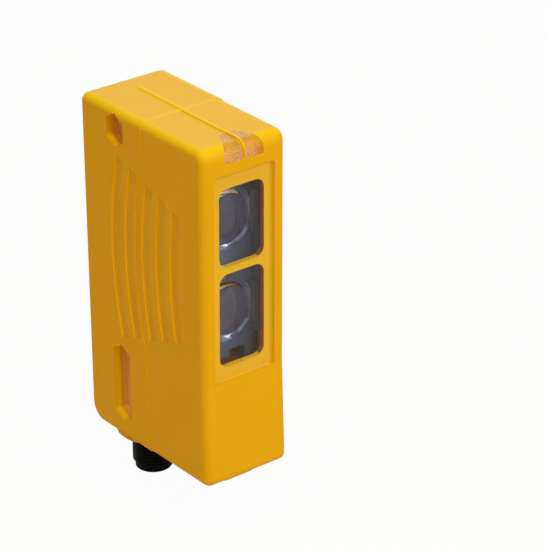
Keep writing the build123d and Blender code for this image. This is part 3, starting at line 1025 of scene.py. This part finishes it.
@dataclass
class Plug:
    """The round plug under the housing, with its moulded screw thread.

    The tooth's three numbers are shares of the pitch: where it leaves the root, reaches the
    crest and leaves the crest. The thread runs out by so many pitches before it is cut off.
    """

    axis_y: float = 16.8
    crest: float = 6.0
    root: float = 5.45
    pitch: float = 1.0
    tooth: Triple = (0.12, 0.44, 0.68)
    run_out: float = 1.5
    low: float = -14.1
    high: float = -4.6
    tip: float = 5.3
    tip_low: float = -16.2
    tip_drop: float = 0.7
    tip_round: float = 0.25
    edge_round: float = 0.2
    socket: float = 4.3
    neck: float = 5.5
    flange: float = 7.4
    flange_low: float = -1.7
    flange_high: float = 3.0
    key_size: Triple = (1.1, 1.0, 8.2)
    key_sunk: float = 0.15
    key_middle: float = -11.3
    key_round: float = 0.12
    key_steps: int = 2
    steps: int = 72

    def thread(self) -> bmesh.types.BMesh:
        """Spins a line of teeth into a thread that a plane cuts off at both ends.

        Returns:
            The thread's open surface, in millimetres.
        """
        shape = bmesh.new()
        start = self.low - self.run_out * self.pitch
        turns = math.ceil((self.high - self.low) / self.pitch + 2.0 * self.run_out)
        rise, top, fall = (share * self.pitch for share in self.tooth)
        points = []
        for turn in range(turns):
            foot = start + turn * self.pitch
            points += [
                (self.root, 0.0, foot), (self.root, 0.0, foot + rise),
                (self.crest, 0.0, foot + top), (self.crest, 0.0, foot + fall),
            ]
        points.append((self.root, 0.0, start + turns * self.pitch))
        bmesh.ops.spin(
            shape, geom=line_of(shape, points), cent=(0, 0, 0), axis=(0, 0, 1),
            dvec=(0, 0, -self.pitch / self.steps), angle=math.tau, steps=self.steps,
            use_merge=False, use_duplicate=False,
        )
        bmesh.ops.remove_doubles(shape, verts=shape.verts, dist=WELD)
        for height, away in ((self.low, -1.0), (self.high, 1.0)):
            bmesh.ops.bisect_plane(
                shape, geom=shape.verts[:] + shape.edges[:] + shape.faces[:], dist=1e-6,
                plane_co=(0, 0, height), plane_no=(0, 0, away), clear_outer=True,
            )
        return shape

    def ring(self, shape: bmesh.types.BMesh, edges: list, radius: float, height: float) -> list:
        """Extrudes a round rim to a new radius and height.

        Args:
            shape: The mesh.
            edges: The rim's edges.
            radius: The new radius in millimetres.
            height: The new height in millimetres.

        Returns:
            The new rim's edges.
        """
        made = bmesh.ops.extrude_edge_only(shape, edges=edges)["geom"]
        for corner in [item for item in made if isinstance(item, bmesh.types.BMVert)]:
            flat = Vector((corner.co.x, corner.co.y, 0.0)).normalized() * radius
            corner.co = Vector((flat.x, flat.y, height))
        fresh = [item for item in made if isinstance(item, bmesh.types.BMEdge)]
        return [edge for edge in fresh if len(edge.link_faces) == 1]

    def rim(self, shape: bmesh.types.BMesh, height: float) -> list:
        """Finds the open edges at a height.

        Args:
            shape: The mesh.
            height: The height in millimetres.

        Returns:
            The edges.
        """
        return [
            edge for edge in shape.edges
            if len(edge.link_faces) == 1 and all(abs(v.co.z - height) < LEVEL for v in edge.verts)
        ]

    def body(self) -> bpy.types.Object:
        """Builds the plug's body: thread, tip, socket, neck and flange.

        Returns:
            The finished piece.
        """
        shape = self.thread()
        tip = self.rim(shape, self.low)
        for radius, height in (
            (self.tip, self.low - self.tip_drop), (self.tip, self.tip_low + self.tip_round),
            (self.tip - self.tip_round, self.tip_low),
            (self.socket + self.edge_round, self.tip_low),
            (self.socket, self.tip_low + self.edge_round), (self.socket, self.flange_high),
        ):
            tip = self.ring(shape, tip, radius, height)
        neck = self.rim(shape, self.high)
        for radius, height in (
            (self.neck, self.high), (self.neck, self.flange_low),
            (self.flange - self.edge_round, self.flange_low),
            (self.flange, self.flange_low + self.edge_round),
            (self.flange, self.flange_high - self.edge_round),
            (self.flange - self.edge_round, self.flange_high), (self.socket, self.flange_high),
        ):
            neck = self.ring(shape, neck, radius, height)
        self.add_key(shape)
        bmesh.ops.translate(shape, verts=shape.verts, vec=(0.0, self.axis_y, 0.0))
        return make_piece("plug_body", shape, BLACK)

    def add_key(self, shape: bmesh.types.BMesh) -> None:
        """Adds the coding rib inside the socket.

        Args:
            shape: The mesh of the body, before it is moved to its place.
        """
        rib = bmesh.ops.create_cube(shape, size=1.0)["verts"]
        bmesh.ops.scale(shape, vec=self.key_size, verts=rib)
        place = (0.0, self.socket - self.key_sunk, self.key_middle)
        bmesh.ops.translate(shape, vec=place, verts=rib)
        edges = list(dict.fromkeys(edge for corner in rib for edge in corner.link_edges))
        bevel(shape, edges, self.key_round, self.key_steps)

    def build(self) -> None:
        """Builds the plug and dresses its solids."""
        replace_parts(self.body(), "connector_body")
        dress_nodes(BLACK, "connector_insert")
        dress_nodes(GOLD, "connector_pins")
        dress_nodes(RUBBER, "connector_seal")


@dataclass(frozen=True)
class Lamp:
    """A square soft lamp, with its place and side in metres and its power in watts."""

    name: str
    place: Triple
    size: float
    power: float
    colour: Colour = WHITE

    def build(self, aim: Triple) -> None:
        """Adds the lamp.

        Args:
            aim: The point in metres that it looks at.
        """
        data = bpy.data.lights.new(self.name, "AREA")
        data.size = self.size
        data.energy = self.power
        data.color = self.colour
        lamp = bpy.data.objects.new(self.name, data)
        lamp.location = self.place
        look = Vector(aim) - Vector(self.place)
        lamp.rotation_euler = look.to_track_quat("-Z", "Y").to_euler()
        bpy.context.scene.collection.objects.link(lamp)


@dataclass
class Studio:
    """The camera, the lamps, the world and the floor.

    The camera's place and the floor's height are in millimetres; the clip distances, the
    floor's reach and the point that the lamps look at are in metres.
    """

    azimuth: float = -37.9892
    elevation: float = 26.2054
    roll: float = -0.5004
    focal: float = 2910.627
    frame_width: float = 550.0
    sensor_width: float = 36.0
    clip: tuple[float, float] = (0.01, 20.0)
    place: Triple = (-419.714, -577.899, 401.678)
    aim: Triple = (0.0, 0.0, 0.045)
    lamps: tuple[Lamp, ...] = (
        Lamp("front_lamp", (-0.30, -1.03, 0.58), 0.6, 3.4, (0.92, 0.88, 1.0)),
        Lamp("right_lamp", (0.46, -0.93, 0.645), 0.27, 2.6, (0.92, 0.90, 1.0)),
        Lamp("top_lamp", (-0.1, -0.34, 1.17), 0.6, 7.2, (0.70, 1.0, 0.52)),
        Lamp("left_lamp", (-0.52, 0.0, 1.09), 0.6, 1.7, (1.0, 0.76, 0.6)),
        Lamp("back_lamp", (0.62, 0.86, 0.57), 0.6, 1.3),
    )
    world_light: float = 0.29
    world_colour: Colour = (0.92, 0.70, 0.62)
    floor_height: float = -16.3
    floor_reach: float = 3.0
    floor_cells: int = 8
    paper: Colour = (0.8, 0.64, 0.58)
    paper_glow: float = 0.97

    def camera(self) -> None:
        """Sets the camera at the fitted place and angle."""
        az, el, roll = (math.radians(a) for a in (self.azimuth, self.elevation, self.roll))
        back = Vector((math.sin(az) * math.cos(el), -math.cos(az) * math.cos(el), math.sin(el)))
        right = (-back).cross(Vector((0.0, 0.0, 1.0))).normalized()
        up = right.cross(-back)
        across = right * math.cos(roll) + up * math.sin(roll)
        above = up * math.cos(roll) - right * math.sin(roll)
        lens = bpy.data.cameras.new("camera")
        lens.sensor_width = self.sensor_width
        lens.lens = self.focal * self.sensor_width / self.frame_width
        lens.clip_start, lens.clip_end = self.clip
        camera = bpy.data.objects.new("camera", lens)
        turn = Matrix((across, above, back)).transposed().to_4x4()
        camera.matrix_world = Matrix.Translation(Vector(self.place) * MM) @ turn
        bpy.context.scene.collection.objects.link(camera)
        bpy.context.scene.camera = camera

    def world(self) -> None:
        """Sets an even warm world that looks white to the camera and in clear or shiny pieces."""
        world = bpy.data.worlds.new("studio_world")
        sheet = NodeSheet(world, "ShaderNodeOutputWorld")
        lit = sheet.add(
            "ShaderNodeBackground", Strength=self.world_light, Color=(*self.world_colour, 1.0)
        )
        seen = sheet.add("ShaderNodeBackground", Strength=1.0, Color=(*WHITE, 1.0))
        sights = ("Is Camera Ray", "Is Glossy Ray", "Is Transmission Ray")
        sight = sheet.largest(*(sheet.sight(kind) for kind in sights))
        sheet.end(sheet.mix(sight, lit.outputs["Background"], seen.outputs["Background"]))
        bpy.context.scene.world = world

    def floor(self) -> None:
        """Adds a wide white floor that keeps a faint shadow."""
        shape = bmesh.new()
        bmesh.ops.create_grid(
            shape, x_segments=self.floor_cells, y_segments=self.floor_cells, size=self.floor_reach
        )
        bmesh.ops.translate(shape, verts=shape.verts, vec=(0.0, 0.0, self.floor_height * MM))
        mesh = bpy.data.meshes.new("floor")
        shape.to_mesh(mesh)
        shape.free()
        floor = bpy.data.objects.new("floor", mesh)
        bpy.context.scene.collection.objects.link(floor)
        floor.data.materials.append(self.floor_paper())

    def floor_paper(self) -> bpy.types.Material:
        """Makes the floor's white paper: nearly white with a little shadow, clear from below.

        Returns:
            The material.
        """
        material = bpy.data.materials.new("white_paper")
        sheet = NodeSheet(material, "ShaderNodeOutputMaterial")
        paper = sheet.add("ShaderNodeBsdfDiffuse", Color=(*self.paper, 1.0))
        glow = sheet.add("ShaderNodeEmission", Strength=1.0)
        share = sheet.sum("MULTIPLY", sheet.sight("Is Camera Ray"), self.paper_glow)
        above = sheet.mix(share, paper.outputs["BSDF"], glow.outputs["Emission"])
        under = sheet.add("ShaderNodeNewGeometry").outputs["Backfacing"]
        below = sheet.add("ShaderNodeBsdfTransparent").outputs["BSDF"]
        sheet.end(sheet.mix(under, above, below))
        return material

    def build(self) -> None:
        """Sets the whole studio up."""
        self.camera()
        self.world()
        self.floor()
        for lamp in self.lamps:
            lamp.build(self.aim)
        bpy.context.scene.view_settings.view_transform = "Standard"
        log.info("studio set up")


def main() -> None:
    """Builds the sensor and the studio in order."""
    logging.basicConfig(level=logging.INFO, format="%(name)s: %(message)s")
    for part in (Shells(), Windows(), Optics(), Electronics(), Plug(), Studio()):
        part.build()


if __name__ == "__main__":
    main()
